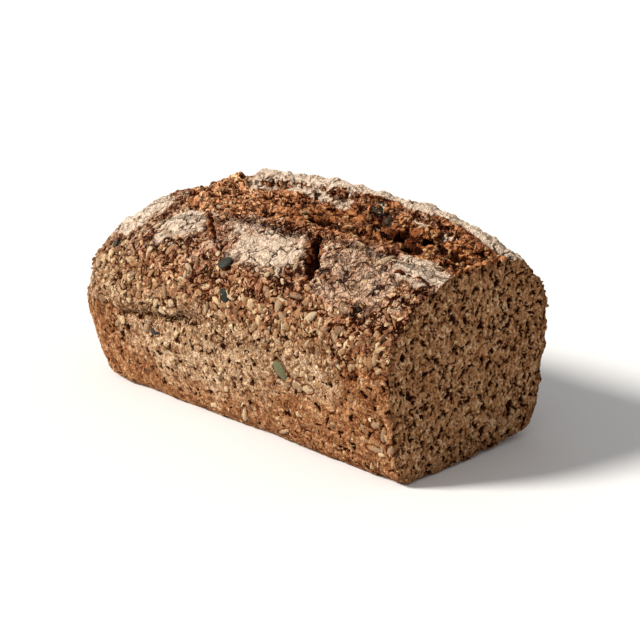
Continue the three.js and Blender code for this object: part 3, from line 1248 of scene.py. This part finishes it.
def grain_outline(along):
    s = along + 0.5
    half_width = 0.34 * (4 * s * (1 - s)) ** 0.45 * (1.1 - 0.25 * s)
    return half_width, half_width * 0.85, 0.0


SHAPES = {
    "sunflower_kernels": shape_mesh("sunflower_kernel", 8, 10, sunflower_outline),
    "pumpkin_seeds": shape_mesh("pumpkin_seed", 8, 12, pumpkin_outline),
    "flakes": shape_mesh("flake", 4, 7, flake_outline),
    "cracked_grain": shape_mesh("cracked_grain", 4, 5, grain_outline),
}
print("faces of each shape:", {name: len(mesh.polygons) for name, mesh in SHAPES.items()})


# %% The tree that sets a shape on every point
def seeding_tree(name, shape, finish):
    """Shapes on points, turned to the surface, sized, toned and slightly uneven."""
    tree, g, geometry, given = new_geometry_tree(name, {"Size": 1.0, "Unevenness": 0.1})
    carrier = new_object(name + "_shape", shape)
    source = g.node("GeometryNodeObjectInfo")
    source.inputs["Object"].default_value = carrier
    turned = g.node("FunctionNodeAlignRotationToVector", axis="Z")
    g.feed(turned.inputs["Vector"], recalled(g, "normal", "FLOAT_VECTOR"))
    spin = g.node("FunctionNodeRotateRotation", rotation_space="LOCAL")
    g.feed(spin.inputs["Rotation"], g.out(turned))
    euler = g.node("FunctionNodeEulerToRotation")
    g.feed(euler.inputs[0], g.join(0.0, 0.0, recalled(g, "turn")))
    g.feed(spin.inputs["Rotate By"], g.out(euler))
    laid = g.node("GeometryNodeInstanceOnPoints")
    g.feed(laid.inputs["Points"], geometry)
    g.feed(laid.inputs["Instance"], g.out(source, "Geometry"))
    g.feed(laid.inputs["Rotation"], g.out(spin))
    size = recalled(g, "size", "FLOAT_VECTOR") * given["Size"] * MM
    g.feed(laid.inputs["Scale"], size)
    real = g.node("GeometryNodeRealizeInstances")
    g.feed(real.inputs[0], g.out(laid))
    at = g.out(g.node("GeometryNodeInputPosition")) * (1.0 / MM)
    uneven = g.noise_vector(at, 2.2, seed=60) * given["Unevenness"]
    moved = displaced(g, g.out(real), uneven)
    finished = g.node("GeometryNodeSetMaterial")
    g.feed(finished.inputs["Geometry"], moved)
    finished.inputs["Material"].default_value = finish
    end_geometry_tree(g, g.out(finished))
    return tree, carrier


# %% Seed finishes
def seed_surface(name, dark, middle, light, streak=0.0, roughness=0.62):
    """Each seed has its own tone between dark and light, with faint streaks."""
    material, g, shader = new_material(name, Specular_IOR_Level=SEED_SHINE)
    at = object_place(g)
    tone = attribute(g, "tone")
    value = tone + g.noise(at, 1.1, detail=2.0, seed=61) * (0.14 + streak)
    low = g.blend(g.smooth(value, -0.05, 0.5), dark, middle)
    colour = g.blend(g.smooth(value, 0.5, 1.0), low, light)
    g.feed(shader.inputs["Base Color"], colour)
    g.feed(shader.inputs["Roughness"], g.noise(at, 1.5, seed=62) * 0.08 + roughness)
    bump = g.node("ShaderNodeBump")
    bump.inputs["Distance"].default_value = 0.25 * MM
    bump.inputs["Strength"].default_value = 0.6
    g.feed(bump.inputs["Height"], g.noise(at, 0.8, detail=2.0, seed=63))
    g.feed(shader.inputs["Normal"], g.out(bump))
    return material


SEED_FINISHES = {
    "sunflower_kernels": seed_surface("sunflower_kernel", (0.17, 0.09, 0.045), (0.33, 0.205, 0.115),
                                      (0.52, 0.38, 0.235)),
    "pumpkin_seeds": seed_surface("pumpkin_seed", (0.018, 0.019, 0.015), (0.035, 0.04, 0.028),
                                  (0.13, 0.125, 0.06), roughness=0.42),
    "flakes": seed_surface("grain_flake", (0.17, 0.07, 0.028), (0.36, 0.19, 0.085),
                           (0.62, 0.45, 0.26)),
    "cracked_grain": seed_surface("cracked_grain", (0.11, 0.04, 0.018), (0.31, 0.155, 0.065),
                                  (0.55, 0.36, 0.18)),
}
print("seed finishes:", ", ".join(SEED_FINISHES))

# %% [markdown]
# ## Where the seeds lie
# Most lie along the shoulders of the long sides and the tin end, and fewer lower down. The crown
# has some between its patches of flour, and the tear shows a few that were pulled open with the
# crumb. None lie on the base or in the cut face. The dough shrinks from a large seed as it bakes,
# so a narrow gap is pressed in round each one before the seeds are made.

# %% Seeds placed one by one, then the rest
# along, across, up, length, width, thickness, turn, tone
NAMED_SEEDS = {
    "sunflower_kernels": (
        (87, -23, 102, 13.0, 14.0, 14.0, 1.3, 0.75), (37, -54, 80, 10.5, 10.5, 11.0, -0.6, 0.35),
        (47, -56.5, 75, 9.5, 11.5, 11.0, -1.2, 0.6), (54, -57, 37.5, 8.0, 9.0, 9.0, 1.1, 0.25),
        (61, -57, 38, 9.0, 12.0, 11.0, -0.3, 0.3), (68, -57, 38, 8.0, 11.0, 11.0, 0.1, 0.8),
        (87, -58, 69, 9.5, 9.0, 10.0, -0.9, 0.6), (115, -58, 68, 11.0, 8.0, 9.0, 1.45, 0.6),
        (114, -56, 32.5, 9.0, 12.0, 11.0, 0.5, 0.5), (118, -56, 28, 9.0, 9.0, 9.0, 1.3, 0.3),
        (121, -53, 20, 8.5, 10.0, 10.0, 0.9, 0.4), (70, -57, 76, 8.5, 12.0, 12.0, 0.9, 0.9),
        (80, -57, 73, 8.0, 12.0, 12.0, 0.5, 0.45), (90, -57, 74, 8.0, 12.0, 12.0, 0.0, 0.05),
        (30, -57, 62, 8.5, 9.0, 9.0, 0.9, 0.5), (8, -57, 62, 8.0, 9.0, 9.0, -0.7, 0.7),
        (-12, -55, 40, 7.5, 9.0, 9.0, 0.3, 0.5), (98, -57, 56, 9.5, 8.5, 9.0, -0.7, 0.6),
    ),
    "pumpkin_seeds": (
        (2, -53, 91, 8.5, 13.0, 14.0, 0.5, 0.3), (9, -58, 73, 7.5, 12.0, 14.0, 1.2, 0.1),
        (50, -58, 43, 12.0, 10.5, 14.0, -0.8, 0.98), (44, 19, 108, 9.0, 10.0, 12.0, 0.1, 0.2),
        (-46, -57, 41, 7.0, 8.0, 12.0, 0.0, 0.1), (-93, -47, 80, 6.0, 6.0, 10.0, 1.3, 0.3),
        (-28, 20, 112, 9.0, 10.0, 14.0, 0.3, 0.4), (88, 58, 60, 10.0, 11.0, 14.0, 0.6, 0.3),
        (-40, 58, 52, 9.0, 11.0, 14.0, -0.4, 0.9), (-118, 12, 48, 9.0, 11.0, 14.0, 0.9, 0.2),
        (20, 57, 70, 9.5, 11.0, 14.0, 1.3, 0.6),
    ),
}


def nearest_place(at):
    """The face of any patch that is nearest to a place, as its middle and outward normal."""
    best = None
    for middles, normals, _, _ in SURFACE.values():
        gaps = ((middles - at) ** 2).sum(axis=1)
        pick = gaps.argmin()
        if best is None or gaps[pick] < best[0]:
            best = (gaps[pick], middles[pick], normals[pick])
    return best[1], best[2]


def along_shoulder(middles, values):
    z = middles[:, 2]
    ridge = np.exp(-((z - 71.0) / 11.0) ** 2)
    return (0.25 + 1.6 * ridge) * (z > 6.0) * (values["cut"] < 0.2)


def under_flour(middles, values):
    return (0.2 + np.exp(-((middles[:, 2] - 84.0) / 9.0) ** 2)) * (values["torn"] < 0.4) \
        * (1.15 - np.clip(values["flour"], 0, 1)) * (values["cut"] < 0.2)


def in_crumb(_, values):
    return (values["torn"] > 0.5) * (values["cavity"] < 0.4) * (values["cut"] < 0.2)


# kind: patch, how many, weight, length range, width and thickness for each length, sink
SCATTERED = {
    "sunflower_kernels": (
        ("long_side", 64, along_shoulder, (6.5, 9.5), (1.0, 1.0, 1.0), 0.11),
        ("far_side", 70, along_shoulder, (6.5, 9.5), (1.0, 1.0, 1.0), 0.11),
        ("tin_end", 26, along_shoulder, (6.5, 9.5), (1.0, 1.0, 1.0), 0.11),
        ("plates", 26, under_flour, (6.5, 9.0), (1.0, 1.0, 1.0), 0.12),
        ("far_crown", 20, under_flour, (6.5, 9.0), (1.0, 1.0, 1.0), 0.12),
        ("tear", 5, in_crumb, (7.0, 9.0), (1.0, 1.0, 1.0), 0.1),
    ),
    "flakes": (
        ("long_side", 520, along_shoulder, (3.0, 6.6), (1.0, 1.0, 1.2), 0.1),
        ("far_side", 480, along_shoulder, (3.0, 6.6), (1.0, 1.0, 1.2), 0.1),
        ("tin_end", 190, along_shoulder, (3.0, 6.6), (1.0, 1.0, 1.2), 0.1),
        ("plates", 170, under_flour, (3.0, 6.0), (1.0, 1.0, 1.2), 0.1),
        ("far_crown", 150, under_flour, (3.0, 6.0), (1.0, 1.0, 1.2), 0.1),
        ("tear", 120, in_crumb, (2.6, 5.0), (1.0, 0.8, 1.4), 0.0),
    ),
    "cracked_grain": (
        ("long_side", 300, along_shoulder, (1.6, 3.4), (1.0, 1.0, 1.0), 0.25),
        ("far_side", 280, along_shoulder, (1.6, 3.6), (1.0, 1.0, 1.0), 0.25),
        ("tin_end", 130, along_shoulder, (1.6, 3.6), (1.0, 1.0, 1.0), 0.25),
        ("plates", 110, under_flour, (1.6, 3.4), (1.0, 1.0, 1.0), 0.25),
        ("far_crown", 100, under_flour, (1.6, 3.6), (1.0, 1.0, 1.0), 0.25),
        ("tear", 140, in_crumb, (1.6, 3.2), (1.0, 1.0, 1.0), 0.1),
    ),
}
UNEVENNESS = {"sunflower_kernels": 0.08, "pumpkin_seeds": 0.14, "flakes": 0.3, "cracked_grain": 0.32}
TILTS = {"flakes": 0.5}
SINKS = {"sunflower_kernels": 0.09, "pumpkin_seeds": 0.025}
HALF_WIDTHS = {"sunflower_kernels": 0.215, "pumpkin_seeds": 0.33}
GAP_REACH, GAP_DEPTH = 8.0, 0.55


def press_in(places, widths):
    """Sink the dough in a narrow ring round each large seed, and paint shade into the gap that leaves."""
    rings = []
    for at, normal, size, turn in zip(places.at, places.normal, places.size, places.turn):
        lay = Vector((0, 0, 1)).rotation_difference(Vector(normal))
        along = lay @ Vector((math.cos(turn), math.sin(turn), 0.0))
        rings.append((np.array(at), np.array(normal), np.array(along), size[0] / 2, size[1] * widths))
    for name in PATCHES:
        mesh = pieces[name].data
        points = column(mesh.vertices, "co", 3) / MM
        cavity = column(mesh.attributes["cavity"].data, "value")
        order = np.argsort(points[:, 0])
        sorted_x = points[order, 0]
        for at, normal, along, half_length, half_width in rings:
            low, high = np.searchsorted(sorted_x, (at[0] - GAP_REACH, at[0] + GAP_REACH))
            near = order[low:high]
            off = points[near] - at
            a, b, up = off @ along, off @ np.cross(normal, along), off @ normal
            reach = np.sqrt((a / half_length) ** 2 + (b / half_width) ** 2)
            ring = np.clip(1.0 - np.abs(reach - 1.12) / 0.3, 0.0, 1.0) * (np.abs(up) < 3.0)
            points[near] -= np.outer(ring * GAP_DEPTH, normal).astype(np.float32)
            cavity[near] = np.maximum(cavity[near], ring * 0.85)
        mesh.vertices.foreach_set("co", (points * MM).ravel())
        mesh.attributes["cavity"].data.foreach_set("value", cavity)
        mesh.update()


random = np.random.default_rng(7)
for kind, shape in SHAPES.items():
    places = Places()
    for x, y, z, long, wide, thick, turn, tone in NAMED_SEEDS.get(kind, ()):
        at, normal = nearest_place(np.array((x, y, z), np.float32))
        places.add(at - normal * SINKS[kind] * thick, normal, (long, wide, thick), turn, tone)
    for patch, count, weight, size_range, proportions, sink in SCATTERED.get(kind, ()):
        tilt = TILTS.get(kind, 0.25)
        places.scatter(random, patch, count, weight, size_range, sink, proportions, tilt)
    if kind in HALF_WIDTHS:
        press_in(places, HALF_WIDTHS[kind])
    tree, carrier = seeding_tree(kind, shape, SEED_FINISHES[kind])
    mesh = run_tree(places.mesh(kind), tree, kind, unevenness=UNEVENNESS[kind])
    bpy.data.objects.remove(carrier)
    mesh.shade_smooth()
    pieces[kind] = add_piece(kind, mesh, SEED_FINISHES[kind])
    print(f"{kind}: {len(places.at)} pieces, {len(mesh.polygons)} faces")

# %% [markdown]
# ## Floor and light
# A plain pale floor, and soft studio light: one large lamp high at the front left, which models
# the grain of the long side, and a white room that fills the shade.


# %% Floor, lamp and room
LIGHT_FROM = (-0.52, -0.74, 0.74)
KEY_STRENGTH = 4.4
KEY_SOFTNESS = 14.0
ROOM_STRENGTH = 0.42


def add_floor():
    bpy.ops.mesh.primitive_plane_add(size=12.0)
    floor = bpy.context.object
    floor.name = "floor"
    material = bpy.data.materials.new("pale_floor")
    material.use_nodes = True
    shader = material.node_tree.nodes["Principled BSDF"]
    shader.inputs["Base Color"].default_value = (0.86, 0.855, 0.85, 1)
    shader.inputs["Roughness"].default_value = 0.9
    floor.data.materials.append(material)


def add_sun():
    """A large soft lamp far away, so that the floor is lit evenly."""
    sun = new_object("key_lamp", bpy.data.lights.new("key_lamp", "SUN"))
    sun.rotation_euler = Vector(LIGHT_FROM).to_track_quat("Z", "Y").to_euler()
    sun.data.energy = KEY_STRENGTH
    sun.data.angle = math.radians(KEY_SOFTNESS)
    sun.data.color = (1.0, 0.965, 0.91)


add_floor()
add_sun()
world = bpy.data.worlds.new("white_room")
bpy.context.scene.world = world
world.use_nodes = True
world.node_tree.nodes["Background"].inputs["Color"].default_value = (1, 1, 1, 1)
world.node_tree.nodes["Background"].inputs["Strength"].default_value = ROOM_STRENGTH
bpy.context.scene.view_settings.view_transform = "Standard"
